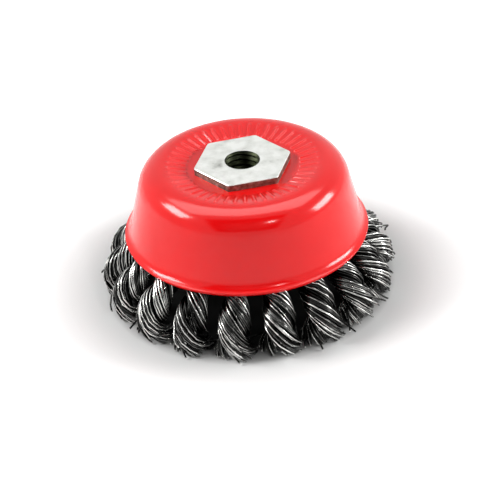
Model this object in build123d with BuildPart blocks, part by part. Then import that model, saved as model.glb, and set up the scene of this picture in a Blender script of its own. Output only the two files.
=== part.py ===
from build123d import *
import math
import os

# A twist-knot wire cup brush. The trimmed wire ends stand on z = 0, the spindle axis is Z,
# and the nut faces up. All lengths are in millimetres.

# Nut: hexagon, spigot through the three sheets, swaged collar and bored core
hex_across_flats = 22.0
hex_turn = 12.4
hex_height = 1.85
hex_bevel = 0.3
nut_length = 10.0
spigot_radius = 7.9
spigot_clearance = 0.1
core_radius = 6.9
collar_width = 1.7
collar_height = 1.3
collar_rounding = 0.6
bore_radius = 4.25
bore_bevel = 0.4

# Pressed cup: its outer skin, from the flat seat under the nut out to the flared rim
seat_height = 34.55
seat_margin = 1.1
seat_rounding = 3.0
crown_width = 11.7
crown_rise = 2.3
shoulder_rounding = 6.6
wall_taper = 4.5
flare_width = 1.5
flare_rise = 0.8
flare_rounding = 3.2
rim_height = 16.7
cup_sheet = 1.2
edge_rounding = 0.25

# Raised strokes on the sloping crown, all alike
stroke_count = 48
stroke_inset = 0.6
stroke_length = 4.8
stroke_width = 0.7
stroke_height = 0.35

# Knot ring: a stamped disc whose outer band hangs lower, to leave room for the wire loops
ring_sheet = 1.6
ring_edge_gap = 3.0
ring_band_width = 5.9
ring_step_run = 2.4
ring_drop = 3.75
ring_bend = 1.4
loop_hole_inset = 2.7
loop_hole_clearance = 0.3

# Inner cup: it nests in the ring and holds the knots out against the rim
inner_sheet = 1.2
inner_hub_inset = 1.8
inner_step_inset = 1.2
inner_step_drop = 4.7
inner_skirt_rise = 3.9
inner_skirt_clearance = 1.15
inner_lip_length = 2.4
inner_lip_flare = 0.3
inner_bend = 1.2

# Wire knots: a bundle looped through the ring, whose two legs are twisted to the left down a curved
# path, tighter towards the tip. A strand's outline is given as shares of its angle and depths.
knot_count = 18
first_knot_angle = -98.0
bundle_radius = 1.5
loop_bend_radius = 2.3
loop_sink = 0.45
bend_slack = 0.05
leg_length = 1.8
leg_rounding = 2.0
neck_radius = 2.65
neck_clearance = 1.2
tip_radius = 5.0
tip_widening = 0.12
splay_power = 1.1
knot_strands = 2
strand_outline = [(0.0, 0.42), (0.2, 0.07), (0.5, 0.0), (0.8, 0.07), (1.0, 0.42)]
pitch_at_top = 27.0
pitch_at_end = 15.0
station_turn = 40.0

# The knots' path: how far its top leans in and hangs under the ring, then the steps out from the
# neck against shares of the rim's height, and the end past the trimmed face
top_lean = 0.65
top_drop = 4.6
neck_share = 1.054
path_steps = [(1.8, 0.862), (5.3, 0.677), (8.0, 0.479), (8.8, 0.275)]
path_end = (6.6, -0.18)

# Stray wires of each knot: the share of the path at which one leaves, its angle out of the knot's
# own plane and its length
wire_radius = 0.25
stray_wires = [(0.77, -31.0, 6.6), (0.80, 6.0, 6.2), (0.74, 27.0, 6.6)]
stray_drop = 0.12

# Heights that follow from the stack: cup, ring, inner cup and nut meet face to face
ring_top = seat_height - cup_sheet
band_top = ring_top - ring_drop
inner_top = ring_top - ring_sheet
nut_top = seat_height + hex_height
nut_bottom = nut_top - nut_length
collar_top = inner_top - inner_sheet

# Radii that follow from the middle outwards
hub_hole_radius = spigot_radius + spigot_clearance
seat_radius = hex_across_flats / math.sqrt(3) + seat_margin
corner_radius = seat_radius + crown_width
flare_bend_radius = corner_radius + wall_taper
rim_radius = flare_bend_radius + flare_width
ring_radius = corner_radius - ring_edge_gap
ring_step_radius = ring_radius - ring_band_width
ring_hub_radius = ring_step_radius - ring_step_run
loop_circle = ring_radius - loop_hole_inset
neck_circle = flare_bend_radius - cup_sheet - neck_radius - neck_clearance
inner_skirt_radius = neck_circle - neck_radius - inner_skirt_clearance


def sheet_ring(outline, roundings, thickness):
    """A pressed sheet part: the rounded outline is its upper skin, turned about Z."""
    with BuildPart() as pressing:
        with BuildSketch(Plane.XZ):
            with BuildLine():
                FilletPolyline(*outline, radius=roundings)
                offset(amount=thickness, side=Side.RIGHT)
            make_face()
        revolve(axis=Axis.Z)
    return pressing.part


os.makedirs("parts", exist_ok=True)

# The raised strokes are cut from a thin cone that follows the crown
stroke_inner_radius = seat_radius + stroke_inset
stroke_outer_radius = stroke_inner_radius + stroke_length
stroke_middle = (stroke_inner_radius + stroke_outer_radius) / 2
stroke_foot = seat_height + stroke_inset * crown_rise / crown_width - cup_sheet / 2
stroke_climb = stroke_length * crown_rise / crown_width
with BuildPart() as strokes:
    with BuildSketch(Plane.XZ):
        with BuildLine():
            Polyline(
                (stroke_inner_radius, stroke_foot),
                (stroke_outer_radius, stroke_foot + stroke_climb),
                (stroke_outer_radius, stroke_foot + stroke_climb + cup_sheet / 2 + stroke_height),
                (stroke_inner_radius, stroke_foot + cup_sheet / 2 + stroke_height),
                close=True,
            )
        make_face()
    revolve(axis=Axis.Z)
    with BuildSketch(Plane.XY.offset(ring_top)):
        with PolarLocations(stroke_middle, stroke_count):
            SlotOverall(stroke_length, stroke_width)
    extrude(amount=cup_sheet + crown_rise, mode=Mode.INTERSECT)

# The cup is one pressing: flat seat, sloping crown with the strokes, tapered wall and flared rim
cup_outline = [
    (hub_hole_radius, seat_height),
    (seat_radius, seat_height),
    (corner_radius, seat_height + crown_rise),
    (flare_bend_radius, rim_height + flare_rise),
    (rim_radius, rim_height),
]
cup_roundings = [seat_rounding, shoulder_rounding, flare_rounding]
with BuildPart() as cup:
    add(sheet_ring(cup_outline, cup_roundings, cup_sheet))
    fillet(cup.edges().filter_by(GeomType.CIRCLE).group_by(SortBy.RADIUS)[-1], edge_rounding)
    add(strokes.part)
cup.part.label = "cup"
export_step(cup.part, "parts/cup.step")

# The nut's spigot passes through the three sheets and its collar is swaged out under them
with BuildPart() as arbor_nut:
    with BuildSketch(Plane.XY.offset(seat_height)):
        RegularPolygon(hex_across_flats / 2, 6, major_radius=False, rotation=hex_turn)
    extrude(amount=hex_height)
    chamfer(arbor_nut.faces().sort_by(Axis.Z)[-1].edges(), hex_bevel)
    with BuildSketch(Plane.XY.offset(nut_bottom)):
        Circle(core_radius)
    extrude(amount=nut_length - hex_height)
    with BuildSketch(Plane.XY.offset(collar_top)):
        Circle(spigot_radius)
    extrude(amount=seat_height - collar_top)
    with BuildSketch(Plane.XY.offset(collar_top - collar_height)):
        Circle(spigot_radius + collar_width)
    extrude(amount=collar_height)
    with Locations((0, 0, nut_top)):
        Hole(bore_radius, depth=nut_length)
    circles = arbor_nut.edges().filter_by(GeomType.CIRCLE).group_by(SortBy.RADIUS)
    chamfer(circles[0], bore_bevel)
    fillet(circles[-1].sort_by(Axis.Z)[0], collar_rounding)
arbor_nut.part.label = "arbor_nut"
export_step(arbor_nut.part, "parts/arbor_nut.step")

# The ring is stamped, with one hole for each wire loop
ring_outline = [
    (hub_hole_radius, ring_top),
    (ring_hub_radius, ring_top),
    (ring_step_radius, band_top),
    (ring_radius, band_top),
]
with BuildPart() as knot_ring:
    add(sheet_ring(ring_outline, [ring_bend, ring_bend], ring_sheet))
    with BuildSketch(Plane.XY.offset(band_top)):
        with PolarLocations(loop_circle, knot_count, first_knot_angle):
            Circle(bundle_radius + loop_hole_clearance)
    extrude(amount=-ring_sheet, mode=Mode.SUBTRACT)
knot_ring.part.label = "knot_ring"
export_step(knot_ring.part, "parts/knot_ring.step")

# The inner cup nests in the ring's hub, and its skirt keeps the knots out against the rim
inner_outline = [
    (hub_hole_radius, inner_top),
    (ring_hub_radius - inner_hub_inset, inner_top),
    (ring_step_radius - inner_step_inset, inner_top - inner_step_drop),
    (inner_skirt_radius, rim_height + inner_skirt_rise),
    (inner_skirt_radius + inner_lip_flare, rim_height + inner_skirt_rise - inner_lip_length),
]
with BuildPart() as inner_cup:
    add(sheet_ring(inner_outline, [inner_bend, inner_bend, inner_bend], inner_sheet))
inner_cup.part.label = "inner_cup"
export_step(inner_cup.part, "parts/inner_cup.step")

# One knot, in the plane of its own radius: the spine runs from under the ring to past the floor,
# and the twisted wires are trimmed level with it
knot_top = (neck_circle - top_lean, band_top - top_drop)
neck_height = neck_share * rim_height
spine_points = [(knot_top[0], 0, knot_top[1])]
spine_points += [(neck_circle - top_lean / 2, 0, (knot_top[1] + neck_height) / 2)]
spine_points += [(neck_circle, 0, neck_height)]
spine_points += [(neck_circle + out, 0, share * rim_height) for out, share in path_steps + [path_end]]
spine = Spline(*spine_points, tangents=[(0, 0, -1), (0, 0, -1)])
tightening = pitch_at_top - pitch_at_end
full_turn = 360 * spine.length / tightening * math.log(pitch_at_top / pitch_at_end)
knot_stations = math.ceil(full_turn / station_turn) + 1
loop_height = band_top - loop_sink
leg_height = loop_height - leg_length
loop_rounding = loop_bend_radius - bend_slack
strand_angle = 360 / knot_strands


def section_point(share, angle, depth):
    """A point of a knot's section, set in by the depth of a groove, wider towards the tip."""
    reach = (neck_radius + (tip_radius - neck_radius) * share**splay_power) * (1 - depth)
    across = 1 + tip_widening * share
    return (reach * across * math.cos(math.radians(angle)), reach * math.sin(math.radians(angle)))


with BuildPart() as knot:
    for station in range(knot_stations):
        share = station / (knot_stations - 1)
        pitch = pitch_at_top - tightening * share
        turn = -360 * spine.length / tightening * math.log(pitch_at_top / pitch)
        with BuildSketch(Plane(origin=spine @ share, x_dir=(0, 1, 0), z_dir=spine % share)):
            with BuildLine():
                for strand in range(knot_strands):
                    start = turn + strand_angle * strand
                    Spline(
                        *(
                            section_point(share, start + strand_angle * place, depth)
                            for place, depth in strand_outline
                        )
                    )
            make_face()
    loft()
    split(bisect_by=Plane.XY, keep=Keep.TOP)
    with BuildLine(Plane.XZ) as outer_leg:
        FilletPolyline(
            (loop_circle, leg_height),
            (loop_circle, loop_height + loop_bend_radius),
            (loop_circle + 2 * loop_bend_radius, loop_height + loop_bend_radius),
            (knot_top[0], knot_top[1] - bundle_radius),
            radius=loop_rounding,
        )
    with BuildSketch(Plane.XY.offset(leg_height)):
        with Locations((loop_circle, 0)):
            Circle(bundle_radius)
    sweep(path=outer_leg.line)
    with BuildLine(Plane.XZ) as inner_leg:
        FilletPolyline(
            (loop_circle, leg_height),
            (loop_circle, leg_height - 0.7 * leg_rounding),
            (knot_top[0] - bundle_radius / 2, knot_top[1] - bundle_radius),
            radius=leg_rounding,
        )
    with BuildSketch(Plane.XY.offset(leg_height)):
        with Locations((loop_circle, 0)):
            Circle(bundle_radius)
    sweep(path=inner_leg.line)
    for share, angle, length in stray_wires:
        side = math.radians(angle)
        with BuildSketch(Plane(spine @ share, z_dir=(math.cos(side), math.sin(side), -stray_drop))):
            Circle(wire_radius)
        extrude(amount=length)

for number in range(knot_count):
    knot_copy = knot.part.rotate(Axis.Z, first_knot_angle + 360 * number / knot_count)
    knot_copy.label = f"knot_{number + 1:02d}"
    export_step(knot_copy, f"parts/{knot_copy.label}.step")
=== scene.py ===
import math

import bpy
import numpy as np
from mathutils import Matrix, Vector


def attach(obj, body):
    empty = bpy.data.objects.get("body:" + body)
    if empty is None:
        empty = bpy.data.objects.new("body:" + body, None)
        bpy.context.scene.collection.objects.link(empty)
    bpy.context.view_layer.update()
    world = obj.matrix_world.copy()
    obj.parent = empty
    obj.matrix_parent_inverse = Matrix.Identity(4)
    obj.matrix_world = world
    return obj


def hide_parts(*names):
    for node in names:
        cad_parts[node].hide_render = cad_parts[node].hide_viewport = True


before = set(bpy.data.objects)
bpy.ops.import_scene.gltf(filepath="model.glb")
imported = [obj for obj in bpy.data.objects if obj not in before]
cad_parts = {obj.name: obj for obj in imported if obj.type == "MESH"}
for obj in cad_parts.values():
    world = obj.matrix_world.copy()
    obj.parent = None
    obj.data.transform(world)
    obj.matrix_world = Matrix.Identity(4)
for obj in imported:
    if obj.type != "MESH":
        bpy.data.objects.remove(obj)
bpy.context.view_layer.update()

# All sizes of the brush are in millimetres, and its heights count from the floor.
mm = 0.001

# The view: a long lens about 0.6 m away looks down on the brush by a third of a right angle, and
# the picture is turned by a few degrees, so that the brush leans a little to the left.
frame_pixels = 500
focal_pixels = 2290.0
sensor_width = 36.0
target_pixel = (246.7, 228.2)
target_height = 15.8 * mm
view_distance = 590.4 * mm
view_elevation = math.radians(32.77)
view_roll = math.radians(-3.72)


def set_out(name, data):
    """A new object of the given data, put into the scene."""
    item = bpy.data.objects.new(name, data)
    bpy.context.scene.collection.objects.link(item)
    return item


camera_data = bpy.data.cameras.new("camera")
camera_data.sensor_width = sensor_width
camera_data.lens = focal_pixels / frame_pixels * sensor_width
camera_data.shift_x = 0.5 - target_pixel[0] / frame_pixels
camera_data.shift_y = target_pixel[1] / frame_pixels - 0.5
camera_data.clip_start = 0.05
camera = set_out("camera", camera_data)
camera_back = -view_distance * math.cos(view_elevation)
camera_rise = target_height + view_distance * math.sin(view_elevation)
camera.matrix_world = (
    Matrix.Translation((0, camera_back, camera_rise))
    @ Matrix.Rotation(math.pi / 2 - view_elevation, 4, "X")
    @ Matrix.Rotation(view_roll, 4, "Z")
)
bpy.context.scene.camera = camera
bpy.context.scene.view_settings.view_transform = "Standard"

# The cup is one pressing of 1.2 mm steel sheet with a flat seat, a sloping crown with raised
# strokes, a tapered wall and a flared rim. It is dipped in glossy red enamel.
seat_height = 34.55
seat_radius = 13.8
corner = (25.5, 36.85)
flare_bend = (30.0, 17.5)
rim = (31.3, 16.8)
cup_roundings = [3.0, 6.6, 3.2]
cup_sheet = 1.2
cup_hole_radius = 8.0
rim_edge_depth = 0.2
rim_edge_pieces = 6
skin_pieces = [4, 3, 34, 18, 8, 8, 2]
lower_skin_step = 3
stroke_count = 48
stroke_inner_radius = 14.4
stroke_outer_radius = 19.2
stroke_width = 0.75
stroke_height = 0.32
stroke_edge = 0.4
columns_per_stroke = 16
cup_columns = stroke_count * columns_per_stroke


def bent_line(corners, radii, pieces):
    """A line through the corners, each one rounded by the arc of its radius that is tangent to
    both runs. Runs and arcs in turn are cut into their numbers of equal pieces."""
    corners = np.array(corners, float)
    stretches = []
    start = corners[0]
    for number, radius in enumerate(radii, 1):
        back = corners[number - 1] - corners[number]
        ahead = corners[number + 1] - corners[number]
        back /= np.linalg.norm(back)
        ahead /= np.linalg.norm(ahead)
        half_turn = (math.pi - math.acos(back @ ahead)) / 2
        arc_start = corners[number] + back * radius * math.tan(half_turn)
        middle = (back + ahead) / np.linalg.norm(back + ahead)
        centre = corners[number] + middle * radius / math.cos(half_turn)
        share = np.linspace(0, 1, pieces[2 * number - 2], endpoint=False)[:, None]
        stretches.append(start + (arc_start - start) * share)
        side = np.sign(back[1] * ahead[0] - back[0] * ahead[1])
        turn = side * 2 * half_turn * np.linspace(0, 1, pieces[2 * number - 1], endpoint=False)
        spoke = arc_start - centre
        arc_x = spoke[0] * np.cos(turn) - spoke[1] * np.sin(turn)
        arc_y = spoke[0] * np.sin(turn) + spoke[1] * np.cos(turn)
        stretches.append(centre + np.stack([arc_x, arc_y], axis=1))
        start = corners[number] + ahead * radius * math.tan(half_turn)
    share = np.linspace(0, 1, pieces[-1] + 1)[:, None]
    stretches.append(start + (corners[-1] - start) * share)
    return np.concatenate(stretches)


def sheet_section(skin, sheet, edge_depth, edge_pieces, lower_step):
    """The closed section of a sheet: its upper skin, a rounded edge as half an ellipse, and every
    few points of the lower skin, which is the upper one moved in along its normals by the sheet's
    thickness."""
    along = np.gradient(skin, axis=0)
    along /= np.linalg.norm(along, axis=1, keepdims=True)
    normal = np.stack([-along[:, 1], along[:, 0]], axis=1)
    lower = skin - sheet * normal
    turn = np.linspace(0, math.pi, edge_pieces + 1)[1:-1, None]
    edge = (skin[-1] + lower[-1]) / 2 + np.cos(turn) * normal[-1] * sheet / 2
    edge = edge + np.sin(turn) * along[-1] * edge_depth
    return np.concatenate([skin, edge, lower[::-lower_step]])


def turned(section, angles):
    """Section points (r, z) turned about Z: x = r cos a, y = r sin a and z, for each angle a."""
    radius = section[:, :1]
    height = section[:, 1:] + 0 * angles
    return np.stack([radius * np.cos(angles), radius * np.sin(angles), height], axis=-1)


def closed_surface(name, grid):
    """A mesh on a grid of points in millimetres that closes on itself both ways: each face joins
    rows i and i + 1 with columns j and j + 1."""
    rows, columns = grid.shape[:2]
    here = np.arange(rows * columns).reshape(rows, columns)
    below = np.roll(here, -1, axis=0)
    faces = np.stack([here, below, np.roll(below, -1, axis=1), np.roll(here, -1, axis=1)], axis=-1)
    mesh = bpy.data.meshes.new(name)
    mesh.from_pydata((grid.reshape(-1, 3) * mm).tolist(), [], faces.reshape(-1, 4).tolist())
    mesh.polygons.foreach_set("use_smooth", np.ones(rows * columns, bool))
    return set_out(name, mesh)


def shader(name, **settings):
    """A new material and its principled shader, with the given socket values set on it."""
    material = bpy.data.materials.new(name)
    material.use_nodes = True
    surface = material.node_tree.nodes["Principled BSDF"]
    for socket, value in settings.items():
        surface.inputs[socket.replace("_", " ")].default_value = value
    return material, surface


def noise(material, scale, detail, stretch=(1, 1, 1)):
    """Noise on Object coordinates, its scale in features a metre, drawn out along each axis."""
    nodes, links = material.node_tree.nodes, material.node_tree.links
    place = nodes.new("ShaderNodeTexCoord")
    mapping = nodes.new("ShaderNodeMapping")
    mapping.inputs["Scale"].default_value = stretch
    texture = nodes.new("ShaderNodeTexNoise")
    texture.inputs["Scale"].default_value = scale
    texture.inputs["Detail"].default_value = detail
    links.new(place.outputs["Object"], mapping.inputs["Vector"])
    links.new(mapping.outputs["Vector"], texture.inputs["Vector"])
    return texture.outputs["Fac"]


def tint(material, surface, source, stops):
    """The shader's colour runs over stops, each a (place, colour), with a source from 0 to 1."""
    node = material.node_tree.nodes.new("ShaderNodeValToRGB")
    while len(node.color_ramp.elements) < len(stops):
        node.color_ramp.elements.new(0.5)
    for element, (place, colour) in zip(node.color_ramp.elements, stops):
        element.position = place
        element.color = (*colour, 1)
    material.node_tree.links.new(source, node.inputs["Fac"])
    material.node_tree.links.new(node.outputs["Color"], surface.inputs["Base Color"])


def roughen(material, surface, source, lowest, highest):
    """The shader's roughness runs from the lowest to the highest value with a source from 0 to 1."""
    node = material.node_tree.nodes.new("ShaderNodeMapRange")
    node.inputs["To Min"].default_value = lowest
    node.inputs["To Max"].default_value = highest
    material.node_tree.links.new(source, node.inputs["Value"])
    material.node_tree.links.new(node.outputs["Result"], surface.inputs["Roughness"])


def emboss(material, surface, source, height):
    """A bump of the given height in metres from a source value."""
    node = material.node_tree.nodes.new("ShaderNodeBump")
    node.inputs["Distance"].default_value = height
    material.node_tree.links.new(source, node.inputs["Height"])
    material.node_tree.links.new(node.outputs["Normal"], surface.inputs["Normal"])


cup_corners = [(cup_hole_radius, seat_height), (seat_radius, seat_height), corner, flare_bend, rim]
cup_skin = bent_line(cup_corners, cup_roundings, skin_pieces)
cup_section = sheet_section(cup_skin, cup_sheet, rim_edge_depth, rim_edge_pieces, lower_skin_step)
cup_angles = np.arange(cup_columns) * 2 * math.pi / cup_columns
cup_grid = turned(cup_section, cup_angles)

# Each stroke is raised where a point lies nearer to its middle line than half its width, and its
# height rises over its edge as 3 s2 - 2 s3.
stroke_phase = (cup_angles * stroke_count / (2 * math.pi) + 0.5) % 1 - 0.5
skin_radius = cup_skin[:, :1]
stroke_aside = skin_radius * np.sin(stroke_phase * 2 * math.pi / stroke_count)
stroke_middle = (stroke_inner_radius + stroke_outer_radius) / 2
stroke_half = (stroke_outer_radius - stroke_inner_radius - stroke_width) / 2
stroke_beyond = np.maximum(np.abs(skin_radius - stroke_middle) - stroke_half, 0)
stroke_share = (stroke_width / 2 - np.hypot(stroke_aside, stroke_beyond)) / stroke_edge + 0.5
stroke_share = np.clip(stroke_share, 0, 1)
cup_grid[: len(cup_skin), :, 2] += stroke_height * stroke_share**2 * (3 - 2 * stroke_share)
cup = closed_surface("cup_shell", cup_grid)

enamel, enamel_surface = shader(
    "red_enamel",
    Specular_IOR_Level=0.0,
    Coat_Weight=1.0,
    Coat_IOR=1.42,
    Coat_Roughness=0.16,
)
enamel_tones = [(0.3, (0.79, 0.003, 0.004)), (0.7, (0.85, 0.004, 0.005))]
tint(enamel, enamel_surface, noise(enamel, scale=70, detail=4), enamel_tones)
roughen(enamel, enamel_surface, noise(enamel, scale=260, detail=3), lowest=0.22, highest=0.40)
emboss(enamel, enamel_surface, noise(enamel, scale=300, detail=2), height=0.006 * mm)
cup.data.materials.append(enamel)
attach(cup, "root")
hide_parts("cup")

# The arbor nut is turned from 22 mm hexagon steel, faced on top and tapped M10. Its spigot passes
# through the three sheets and is swaged out under them, and it has no coat of paint.
hex_across_flats = 22.0
hex_turn = math.radians(12.4)
hex_corner_radius = 12.55
hex_bevel = 0.15
nut_top = 36.4
nut_bottom = 26.4
bore_radius = 4.25
bore_bevel = 0.25
sharp_angle = math.radians(28)
thread_pitch = 1.5
thread_depth = 0.62
rows_per_thread = 12
nut_columns = 180
spigot_radius = 7.9
collar_top = 30.55
collar_radius = 9.6
collar_bottom = 29.25
collar_rounding = 0.5
collar_round_middle = 0.15
core_radius = 6.9

# The section runs from the bore's upper edge round the outside to its lower edge, and up again
# through the thread. The thread's depth falls and rises once a pitch, which it climbs in a turn.
nut_angles = hex_turn + np.arange(nut_columns) * 2 * math.pi / nut_columns
flat_angle = (nut_angles - hex_turn) % (math.pi / 3) - math.pi / 6
hexagon = np.minimum(hex_across_flats / 2 / np.cos(flat_angle), hex_corner_radius)
thread_rows = int((nut_top - nut_bottom - 2 * bore_bevel) / thread_pitch * rows_per_thread)
thread_heights = np.linspace(nut_bottom + bore_bevel, nut_top - bore_bevel, thread_rows)
nut_rings = [
    (bore_radius + bore_bevel, nut_top),
    (hexagon - 2 * hex_bevel, nut_top),
    (hexagon - hex_bevel, nut_top),
    (hexagon, nut_top - hex_bevel),
    (hexagon, seat_height),
    (spigot_radius, seat_height),
    (spigot_radius, collar_top),
    (collar_radius, collar_top),
    (collar_radius, collar_bottom + collar_rounding),
    (collar_radius - collar_round_middle, collar_bottom + collar_round_middle),
    (collar_radius - collar_rounding, collar_bottom),
    (core_radius, collar_bottom),
    (core_radius, nut_bottom),
    (bore_radius + bore_bevel, nut_bottom),
]
for height in thread_heights:
    thread_phase = (height / thread_pitch - nut_angles / (2 * math.pi)) % 1
    nut_rings.append((bore_radius + thread_depth * np.abs(2 * thread_phase - 1), height))
nut_radius = np.stack([ring[0] + 0 * nut_angles for ring in nut_rings])
nut_height = np.stack([ring[1] + 0 * nut_angles for ring in nut_rings])
nut_grid = np.stack(
    [nut_radius * np.cos(nut_angles), nut_radius * np.sin(nut_angles), nut_height], axis=-1
)
nut = closed_surface("nut_body", nut_grid)
nut.data.set_sharp_from_angle(angle=sharp_angle)


def stain(material, source, centre, size, strength):
    """A soft spot that wears the source down: the source less its strength times one minus the
    distance from the centre, measured in the spot's own half lengths."""
    nodes, links = material.node_tree.nodes, material.node_tree.links
    place = nodes.new("ShaderNodeTexCoord")
    mapping = nodes.new("ShaderNodeMapping")
    mapping.vector_type = "TEXTURE"
    mapping.inputs["Location"].default_value = [along * mm for along in centre]
    mapping.inputs["Scale"].default_value = [half * mm for half in size]
    spot = nodes.new("ShaderNodeTexGradient")
    spot.gradient_type = "SPHERICAL"
    worn = nodes.new("ShaderNodeMath")
    worn.operation = "MULTIPLY_ADD"
    worn.inputs[1].default_value = -strength
    links.new(place.outputs["Object"], mapping.inputs["Vector"])
    links.new(mapping.outputs["Vector"], spot.inputs["Vector"])
    links.new(spot.outputs["Fac"], worn.inputs[0])
    links.new(source, worn.inputs[2])
    return worn.outputs["Value"]


nut_steel, nut_surface = shader("faced_steel", Metallic=1.0)
nut_tones = [(0.05, (0.17, 0.17, 0.155)), (0.38, (0.55, 0.56, 0.53)), (0.62, (0.67, 0.68, 0.655))]
nut_grain = stain(
    nut_steel,
    noise(nut_steel, scale=330, detail=8),
    centre=(-5.9, -1.4, nut_top),
    size=(3.4, 3.0, 2.0),
    strength=0.38,
)
tint(nut_steel, nut_surface, nut_grain, nut_tones)
nut_lines = noise(nut_steel, scale=260, detail=3, stretch=(1, 14, 1))
roughen(nut_steel, nut_surface, nut_lines, lowest=0.26, highest=0.48)
emboss(nut_steel, nut_surface, nut_lines, height=0.02 * mm)

# The bore's thread is near black, a painted shade in the bore, over the greenish tint of cutting oil
# left in it.
oil_and_shade_steel, oil_and_shade_surface = shader("thread_oil_and_painted_shade", Metallic=1.0)
oil_and_shade_tones = [(0.3, (0.008, 0.010, 0.004)), (0.7, (0.032, 0.036, 0.022))]
tint(oil_and_shade_steel, oil_and_shade_surface, noise(oil_and_shade_steel, scale=400, detail=4), oil_and_shade_tones)
thread_grain = noise(oil_and_shade_steel, scale=700, detail=2)
roughen(oil_and_shade_steel, oil_and_shade_surface, thread_grain, lowest=0.3, highest=0.5)

# The six flats are darker and browner than the faced top, a painted shade on the nut's sides.
nut_flats_shade, nut_flats_shade_surface = shader("nut_flats_painted_shade", Metallic=1.0)
nut_flats_shade_tones = [(0.3, (0.11, 0.08, 0.06)), (0.55, (0.27, 0.24, 0.20)), (0.75, (0.5, 0.48, 0.44))]
tint(nut_flats_shade, nut_flats_shade_surface, noise(nut_flats_shade, scale=700, detail=5), nut_flats_shade_tones)
nut_flats_grain = noise(nut_flats_shade, scale=1200, detail=3)
roughen(nut_flats_shade, nut_flats_shade_surface, nut_flats_grain, lowest=0.4, highest=0.6)
emboss(nut_flats_shade, nut_flats_shade_surface, nut_flats_grain, height=0.03 * mm)

for material in (nut_steel, oil_and_shade_steel, nut_flats_shade):
    nut.data.materials.append(material)
nut_face_row = np.arange(len(nut.data.polygons)) // nut_columns
flats_row = 3
is_thread = nut_face_row >= len(nut_rings) - thread_rows
is_flat = nut_face_row == flats_row
nut.data.polygons.foreach_set("material_index", (is_thread + 2 * is_flat).astype(np.int32))
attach(nut, "root")
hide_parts("arbor_nut")

# The stamped knot ring and the pressed inner cup are bare sheet steel. The nut's collar clamps
# both under the cup, and the solids already have their form, so they only get their finish.
sheet_steel, sheet_surface = shader("pressed_sheet", Metallic=1.0)
sheet_tones = [(0.3, (0.20, 0.19, 0.18)), (0.7, (0.42, 0.42, 0.41))]
tint(sheet_steel, sheet_surface, noise(sheet_steel, scale=150, detail=5), sheet_tones)
sheet_grain = noise(sheet_steel, scale=500, detail=3)
roughen(sheet_steel, sheet_surface, sheet_grain, lowest=0.3, highest=0.5)
emboss(sheet_steel, sheet_surface, sheet_grain, height=0.01 * mm)
for node in ("knot_ring", "inner_cup"):
    for material_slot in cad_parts[node].material_slots:
        material_slot.material = sheet_steel

# Each knot is a bundle of hard steel wires, bent into a U through its hole in the ring. Its two
# legs are twisted together to the left, tighter towards the tips, and cut level with the others.
knot_count = 18
first_knot_angle = math.radians(-98.0)
surface_wires = 20
middle_wires = 8
core_wires = 4
wires_in_loop = surface_wires + middle_wires + core_wires
layer_radii = [1.0, 0.66, 0.3]
sunken_start = 0.34
wire_radius = 0.25
wire_sides = 5
knot_path = [
    (24.3, 25.0), (24.56, 21.86), (24.76, 18.7), (25.76, 15.73), (27.82, 13.34), (30.24, 11.31),
    (32.37, 8.98), (33.62, 6.1), (33.44, 2.98), (32.24, 0.06), (31.55, -3.0),
]
loop_path = [
    (25.6, 25.2), (24.9, 27.6), (24.4, 29.9), (22.2, 31.5), (20.0, 30.2), (19.8, 27.9),
    (20.8, 26.1), (22.9, 25.2),
]
path_samples = 400
neck_reach = 2.65
tip_reach = 5.0
splay_power = 1.1
tip_widening = 0.12
leg_centre = 0.42
leg_half_depth = 0.58
leg_half_width = 0.78
leg_sector = math.radians(272)
pitch_at_top = 27.0
pitch_at_tip = 15.0
hidden_rings = 3
visible_rings = 16
loop_rings = 4
rim_share = 0.26
burr_share = 0.985
trial_shares = np.linspace(0.5, 1, 80)
place_spread = 0.07
depth_spread = 0.05
knot_turn_spread = 9.0
spring_share = 0.77
spring_range = (0.05, 0.5)
stray_chance = 0.10
stray_spring_range = (0.3, 0.8)
stray_lift_range = (0.1, 0.6)
short_chance = 0.30
short_share_range = (0.60, 0.72)
short_height_range = (0.8, 4.5)
floor_gap = 0.02
reach_limit = 39.4
wire_tone_range = (0.35, 1.25)
# Painted shade in the gaps between wires, and a painted highlight on their outward crests.
gap_shade_tone = 0.1
crest_highlight_tone = 1.1
chance_seed = 75


def smooth_path(points, share):
    """A Catmull-Rom curve: between b and c of four points a, b, c and d, it is half of 2 b +
    (c - a) t + (2 a - 5 b + 4 c - d) t2 + (3 b - a - 3 c + d) t3. The share runs from 0 at the
    first point to 1 at the last."""
    points = np.array(points, float)
    points = np.concatenate([2 * points[:1] - points[1:2], points, 2 * points[-1:] - points[-2:-1]])
    place = np.clip(share, 0, 1) * (len(points) - 3)
    first = np.minimum(place.astype(int), len(points) - 4)
    t = (place - first)[..., None]
    a, b, c, d = (points[first + step] for step in range(4))
    cubic = (2 * a - 5 * b + 4 * c - d) * t**2 + (3 * b - a - 3 * c + d) * t**3
    return (2 * b + (c - a) * t + cubic) / 2


def path_frame(points, share):
    """The curve's point in the knot's own plane and its normal, to the left of a path that runs
    downwards: the tangent (r, z) turned to (-z, r)."""
    step = 0.001
    middle = smooth_path(points, share)
    tangent = smooth_path(points, share + step) - smooth_path(points, share - step)
    tangent /= np.linalg.norm(tangent, axis=-1, keepdims=True)
    return middle, np.stack([-tangent[..., 1], tangent[..., 0]], axis=-1)


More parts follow.
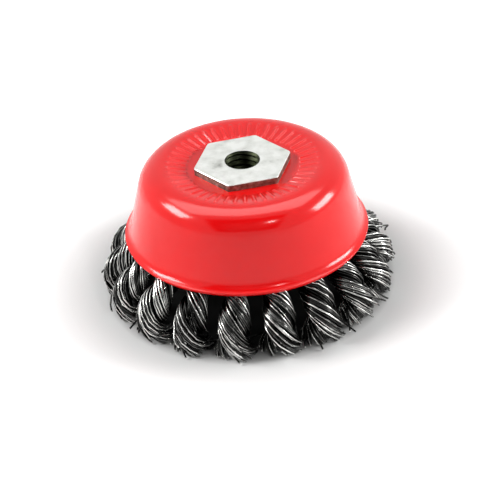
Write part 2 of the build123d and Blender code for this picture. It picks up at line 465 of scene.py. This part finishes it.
def leg_points(share, side, wire, phase):
    """Points of a leg's wires in the knot's frame (outwards, sideways, up), and how far out of the
    knot each one lies, as a vector from its path in reaches. The knot's reach grows from neck to
    tip with the share to its power. A leg is an ellipse, whose centre lies beside the path by its
    part of the reach, as deep and as wide as its two other parts say, and each wire has its place
    (u, v) from -1 to 1 in it. Both legs are turned to the left by the lay, whose pitch shortens
    evenly from top to tip."""
    middle, normal = path_frame(knot_path, share)
    reach = neck_reach + (tip_reach - neck_reach) * share**splay_power
    shortening = pitch_at_top - pitch_at_tip
    pitch = pitch_at_top - shortening * share
    turn = 2 * math.pi * path_length / shortening * np.log(pitch_at_top / pitch) + phase * share
    rise = 1 - wire["sink"] * (1 - share)
    out = side * (leg_centre * reach + (leg_half_depth * reach - wire_radius) * wire["u"] * rise)
    aside = (leg_half_width * reach - wire_radius) * wire["v"] * rise
    turned_out = out * np.cos(turn) - aside * np.sin(turn)
    turned_aside = out * np.sin(turn) + aside * np.cos(turn)
    turned_aside = turned_aside * (1 + tip_widening * share)
    flat = normal * turned_out[..., None]
    path = np.stack([middle[..., 0], 0 * turned_aside, middle[..., 1]], axis=-1)
    offset = np.stack([flat[..., 0], turned_aside, flat[..., 1]], axis=-1)
    return path + offset, offset / reach[..., None]


def sprung_points(share, side, wire, phase):
    """A leg's points with wires that spring out of the twist near their ends. Past its own share a
    wire leaves its helix and goes its own part of the way over to the straight line that runs on
    from there, whose fall is its own part of the helix's."""
    line, out_of_knot = leg_points(share, side, wire, phase)
    step = 0.01
    start = leg_points(wire["free from"], side, wire, phase)[0]
    before = leg_points(wire["free from"] - step, side, wire, phase)[0]
    pace = (start - before) / step
    pace[..., 2] *= wire["fall"]
    beyond = np.maximum(share - wire["free from"], 0)[..., None]
    straight = start + pace * beyond
    return line + wire["spring"][..., None] * (beyond > 0) * (straight - line), out_of_knot


def loop_points(share, wire):
    """Points of the loops over the ring's edge: the path's point plus the wire's place u along its
    outer normal and v sideways, drawn together to a round bundle at the top of the loop."""
    middle, normal = path_frame(loop_path, share)
    rise = 1 - wire["sink"]
    half_depth = leg_half_depth * neck_reach - wire_radius
    half_width = leg_half_width * neck_reach - wire_radius
    narrowing = half_width - (half_width - half_depth) * np.sin(math.pi * share)
    flat = middle - normal * (half_depth * wire["u"] * rise)[..., None]
    return np.stack([flat[..., 0], narrowing * wire["v"] * rise, flat[..., 1]], axis=-1)


def wire_rings(lines):
    """Unit circles square to lines of points (wire, ring). The side of a circle is the tangent
    crossed with the sideways axis."""
    tangent = np.gradient(lines, axis=1)
    tangent /= np.linalg.norm(tangent, axis=-1, keepdims=True)
    across = np.cross(tangent, (0.0, 1.0, 0.0))
    across /= np.linalg.norm(across, axis=-1, keepdims=True)
    upright = np.cross(tangent, across)
    turn = np.arange(wire_sides)[:, None] * 2 * math.pi / wire_sides
    return np.cos(turn) * across[:, :, None, :] + np.sin(turn) * upright[:, :, None, :]


def wire_tubes(name, points):
    """Closed tubes on points (wire, ring, side), with flat cut ends of the second material."""
    here = np.arange(points[..., 0].size).reshape(points.shape[:3])
    beside = np.roll(here, -1, axis=2)
    sides = np.stack([here[:, :-1], beside[:, :-1], beside[:, 1:], here[:, 1:]], axis=-1)
    caps = np.concatenate([here[:, 0, ::-1], here[:, -1]])
    mesh = bpy.data.meshes.new(name)
    faces = sides.reshape(-1, 4).tolist() + caps.tolist()
    mesh.from_pydata((points.reshape(-1, 3) * mm).tolist(), [], faces)
    is_cap = np.arange(len(faces)) >= len(faces) - len(caps)
    mesh.polygons.foreach_set("use_smooth", ~is_cap)
    mesh.polygons.foreach_set("material_index", is_cap.astype(np.int32))
    return set_out(name, mesh)


dense_path = smooth_path(knot_path, np.linspace(0, 1, path_samples))
path_length = np.linalg.norm(np.diff(dense_path, axis=0), axis=1).sum()

wire_steel, wire_surface = shader("drawn_wire", Metallic=1.0)
# The tone attribute is each wire's random brightness times its painted shade and painted highlight.
wire_tone = wire_steel.node_tree.nodes.new("ShaderNodeAttribute")
wire_tone.attribute_name = "tone"
wire_tones = [(0.1, (0.003, 0.003, 0.003)), (0.5, (0.06, 0.06, 0.057)), (0.95, (0.90, 0.90, 0.87))]
tint(wire_steel, wire_surface, wire_tone.outputs["Fac"], wire_tones)
wire_grain = noise(wire_steel, scale=900, detail=3)
roughen(wire_steel, wire_surface, wire_grain, lowest=0.16, highest=0.32)

cut_steel, cut_surface = shader("cut_wire_ends", Metallic=1.0)
cut_tones = [(0.3, (0.70, 0.70, 0.68)), (0.7, (0.95, 0.95, 0.93))]
cut_grain = noise(cut_steel, scale=1500, detail=2)
tint(cut_steel, cut_surface, cut_grain, cut_tones)
roughen(cut_steel, cut_surface, cut_grain, lowest=0.3, highest=0.5)

# A leg has few rings above the cup's rim, where it is hidden. One ring more, close to its end,
# keeps the bright burr of the cut short.
hidden_shares = np.linspace(0, rim_share, hidden_rings, endpoint=False)
leg_shares = np.concatenate([hidden_shares, np.linspace(rim_share, 1, visible_rings)])
leg_shares = np.insert(leg_shares, -1, burr_share)
loop_shares = np.linspace(0, 1, loop_rings + 2)[1:-1]
chance = np.random.default_rng(chance_seed)

# Wires lie in three layers of each leg. Every second one of the surface starts a little deeper.
layer_radius = np.repeat(layer_radii, [surface_wires, middle_wires, core_wires])
layer_turn = [np.linspace(-0.5, 0.5, surface_wires) * leg_sector]
for count in (middle_wires, core_wires):
    layer_turn.append(np.arange(count) * 2 * math.pi / count)
layer_turn = np.concatenate(layer_turn)
layer_sink = sunken_start * (np.arange(wires_in_loop) % 2) * (layer_radius == layer_radii[0])
each_wire = (wires_in_loop, 1)

for number in range(knot_count):
    # Each wire's place in the leg strays a little from its layer.
    around = layer_turn + chance.normal(0, place_spread, wires_in_loop)
    radius = layer_radius * (1 - np.abs(chance.normal(0, depth_spread, wires_in_loop)))
    wire = {
        "u": (radius * np.cos(around))[:, None],
        "v": (radius * np.sin(around))[:, None],
        "sink": layer_sink[:, None],
    }
    phase = math.radians(chance.uniform(-knot_turn_spread, knot_turn_spread))
    halves = []
    for side in (1, -1):
        # Use has bent some wires out of the twist, and they fall less steeply than the rest.
        is_stray = chance.random(each_wire) < stray_chance
        stray_spring = chance.uniform(*stray_spring_range, each_wire)
        wire["spring"] = chance.uniform(*spring_range, each_wire) + is_stray * stray_spring
        wire["fall"] = 1 - is_stray * chance.uniform(*stray_lift_range, each_wire)
        # Others broke off short, and stick out of the knot above the floor.
        is_short = chance.random(each_wire) < short_chance
        short_share = chance.uniform(*short_share_range, each_wire)
        wire["free from"] = np.where(is_short, short_share, spring_share)
        # A first pass finds the share at which each wire meets its cutting height.
        heights = sprung_points(trial_shares + np.zeros(each_wire), side, wire, phase)[0][..., 2]
        cut_height = wire_radius + chance.random(each_wire) ** 2
        cut_height += is_short * chance.uniform(*short_height_range, each_wire)
        is_cut = np.minimum.accumulate(heights, axis=1) < cut_height
        is_cut[:, -1] = True
        cut_share = trial_shares[np.argmax(is_cut, axis=1)]
        halves.append(sprung_points(leg_shares * cut_share[:, None], side, wire, phase))
    loop = loop_points(loop_shares + np.zeros(each_wire), wire)
    lines = np.concatenate([halves[0][0][:, ::-1], loop, halves[1][0]], axis=1)
    out_of_knot = np.concatenate([halves[0][1][:, ::-1], 0 * loop, halves[1][1]], axis=1)
    # No wire goes into the floor or past the solids' box.
    lines[..., 2] = np.maximum(lines[..., 2], wire_radius + floor_gap)
    reach = np.hypot(lines[..., 0], lines[..., 1])
    lines[..., :2] *= np.minimum(1, reach_limit / reach)[..., None]
    rings = wire_rings(lines)
    points = lines[:, :, None] + wire_radius * rings

    # A wire's colour is painted bright where it looks out of its knot, a painted highlight, and
    # painted dark where it faces into the knot, a painted shade in the gaps.
    crest = (rings * out_of_knot[:, :, None]).sum(axis=-1)
    wire_brightness = chance.uniform(*wire_tone_range, (wires_in_loop, 1, 1))
    tone = wire_brightness * np.clip(gap_shade_tone + crest_highlight_tone * crest, 0, 1)
    tone[:, [0, -1]] = 1
    angle = first_knot_angle + 2 * math.pi * number / knot_count
    around_z = np.array(Matrix.Rotation(angle, 3, "Z"))
    knot = wire_tubes(f"knot_wires_{number + 1:02d}", points @ around_z.T)
    tone_values = tone.ravel().astype(np.float32)
    knot.data.attributes.new("tone", "FLOAT", "POINT").data.foreach_set("value", tone_values)
    knot.data.materials.append(wire_steel)
    knot.data.materials.append(cut_steel)
    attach(knot, "root")
    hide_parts(f"knot_{number + 1:02d}")

# The floor is a plain pale table top. It shows paler to the camera and in gloss than it lights
# the brush, it keeps the brush's soft shadow, and a painted shadow darkens it in a disc under the
# brush.
floor_half = 1.5
floor_lift_start = 35 * mm
floor_lift_end = 64 * mm
floor_lift_strength = 0.6
floor_shadow_reach = 100 * mm
# The colour is a painted shadow: near black within 31 mm of the axis and pale past 38 mm.
floor_shadow_tones = [(0.31, (0.02, 0.02, 0.02)), (0.38, (0.75, 0.75, 0.745))]


def seen_directly(tree):
    """One for rays from the camera, from gloss and through glass, and nought for diffuse light:
    the greatest of the three outputs of Light Path."""
    ray = tree.nodes.new("ShaderNodeLightPath")
    seen = ray.outputs["Is Camera Ray"]
    for kind in ("Is Glossy Ray", "Is Transmission Ray"):
        either = tree.nodes.new("ShaderNodeMath")
        either.operation = "MAXIMUM"
        tree.links.new(seen, either.inputs[0])
        tree.links.new(ray.outputs[kind], either.inputs[1])
        seen = either.outputs["Value"]
    return seen


floor_corners = [(-floor_half, -floor_half, 0), (floor_half, -floor_half, 0)]
floor_corners += [(floor_half, floor_half, 0), (-floor_half, floor_half, 0)]
floor_mesh = bpy.data.meshes.new("floor")
floor_mesh.from_pydata(floor_corners, [], [(0, 1, 2, 3)])
floor = set_out("floor", floor_mesh)
floor_paint, floor_surface = shader("floor_paint", Roughness=0.9, Specular_IOR_Level=0.0)
floor_surface.inputs["Emission Color"].default_value = (1, 1, 1, 1)

# Both the colour, dark as a painted shadow near the axis, and the lift towards white go by the
# distance from the brush's axis.
floor_nodes, floor_links = floor_paint.node_tree.nodes, floor_paint.node_tree.links
floor_place = floor_nodes.new("ShaderNodeTexCoord")
floor_distance = floor_nodes.new("ShaderNodeVectorMath")
floor_distance.operation = "LENGTH"
floor_links.new(floor_place.outputs["Object"], floor_distance.inputs[0])

floor_shadow_fade = floor_nodes.new("ShaderNodeMapRange")
floor_shadow_fade.inputs["From Max"].default_value = floor_shadow_reach
floor_links.new(floor_distance.outputs["Value"], floor_shadow_fade.inputs["Value"])
tint(floor_paint, floor_surface, floor_shadow_fade.outputs["Result"], floor_shadow_tones)

floor_lift = floor_nodes.new("ShaderNodeMapRange")
floor_lift.interpolation_type = "SMOOTHSTEP"
floor_lift.inputs["From Min"].default_value = floor_lift_start
floor_lift.inputs["From Max"].default_value = floor_lift_end
floor_lift.inputs["To Max"].default_value = floor_lift_strength
floor_links.new(floor_distance.outputs["Value"], floor_lift.inputs["Value"])
floor_shown = floor_nodes.new("ShaderNodeMath")
floor_shown.operation = "MULTIPLY"
floor_links.new(floor_lift.outputs["Result"], floor_shown.inputs[0])
floor_links.new(seen_directly(floor_paint.node_tree), floor_shown.inputs[1])
floor_links.new(floor_shown.outputs["Value"], floor_surface.inputs["Emission Strength"])
floor_mesh.materials.append(floor_paint)

# The studio: soft boxes at the brush's left and right give the window-shaped highlights on the
# shoulder, and a small one gives the spark between them. The fill in front only gives light, and
# the panel overhead, which leans in from behind, only shows in gloss.
soft_boxes = [
    ("left_box", 180.0, 37.0, (0.34, 0.20), 19.0, True, True),
    ("right_box", 2.0, 20.0, (0.34, 0.20), 19.0, True, True),
    ("small_box", -60.0, 42.0, (0.04, 0.03), 130.0, True, True),
    ("front_fill", -90.0, 35.0, (0.50, 0.40), 1.5, True, False),
    ("top_panel", -90.0, 104.0, (1.10, 0.46), 4.0, False, True),
]
box_distance = 0.7
box_aim = Vector((0, 0, 0.025))


def soft_box(name, azimuth, elevation, size, radiance, gives_light, shows_in_gloss):
    """A rectangular lamp that faces the brush from an azimuth and elevation in degrees, of a size
    in metres. A lamp of power P and area A shines with a radiance of P / (pi A)."""
    lamp_data = bpy.data.lights.new(name, "AREA")
    lamp_data.shape = "RECTANGLE"
    lamp_data.size, lamp_data.size_y = size
    lamp_data.energy = radiance * math.pi * size[0] * size[1]
    lamp = set_out(name, lamp_data)
    out = math.cos(math.radians(elevation))
    across, ahead = math.cos(math.radians(azimuth)), math.sin(math.radians(azimuth))
    away = Vector((out * across, out * ahead, math.sin(math.radians(elevation))))
    lamp.location = box_aim + away * box_distance
    lamp.rotation_mode = "QUATERNION"
    lamp.rotation_quaternion = away.to_track_quat("Z", "Y")
    lamp.visible_diffuse = gives_light
    lamp.visible_glossy = shows_in_gloss


for box in soft_boxes:
    soft_box(*box)

# A black card around the camera keeps the enamel's front and the wires' dark sides deep. It only
# shows in gloss, and throws no shadow.
card_distance = 0.8
card_half = (0.52, 0.40)
card_elevation = math.radians(43)
card_middle = Vector((0, -math.cos(card_elevation), math.sin(card_elevation))) * card_distance
card_up = Vector((0, math.sin(card_elevation), math.cos(card_elevation))) * card_half[1]
card_side = Vector((card_half[0], 0, 0))
card_mesh = bpy.data.meshes.new("black_card")
card_corners = [card_middle - card_side - card_up, card_middle + card_side - card_up]
card_corners += [card_middle + card_side + card_up, card_middle - card_side + card_up]
card_mesh.from_pydata(card_corners, [], [(0, 3, 2, 1)])
card = set_out("black_card", card_mesh)
card_paint, card_surface = shader("black_card", Roughness=1.0, Specular_IOR_Level=0.0)
card_surface.inputs["Base Color"].default_value = (0, 0, 0, 1)
card_mesh.materials.append(card_paint)
card.visible_camera = False
card.visible_diffuse = False
card.visible_shadow = False

# The surround is white to the camera, in gloss and through glass, and fills in as a weak light.
ambient = 0.15
world = bpy.data.worlds.new("surround")
bpy.context.scene.world = world
world.use_nodes = True
surround = world.node_tree.nodes["Background"]
surround.inputs["Color"].default_value = (1, 1, 1, 1)
surround_level = world.node_tree.nodes.new("ShaderNodeMapRange")
surround_level.inputs["To Min"].default_value = ambient
surround_level.inputs["To Max"].default_value = 1.0
world.node_tree.links.new(seen_directly(world.node_tree), surround_level.inputs["Value"])
world.node_tree.links.new(surround_level.outputs["Result"], surround.inputs["Strength"])
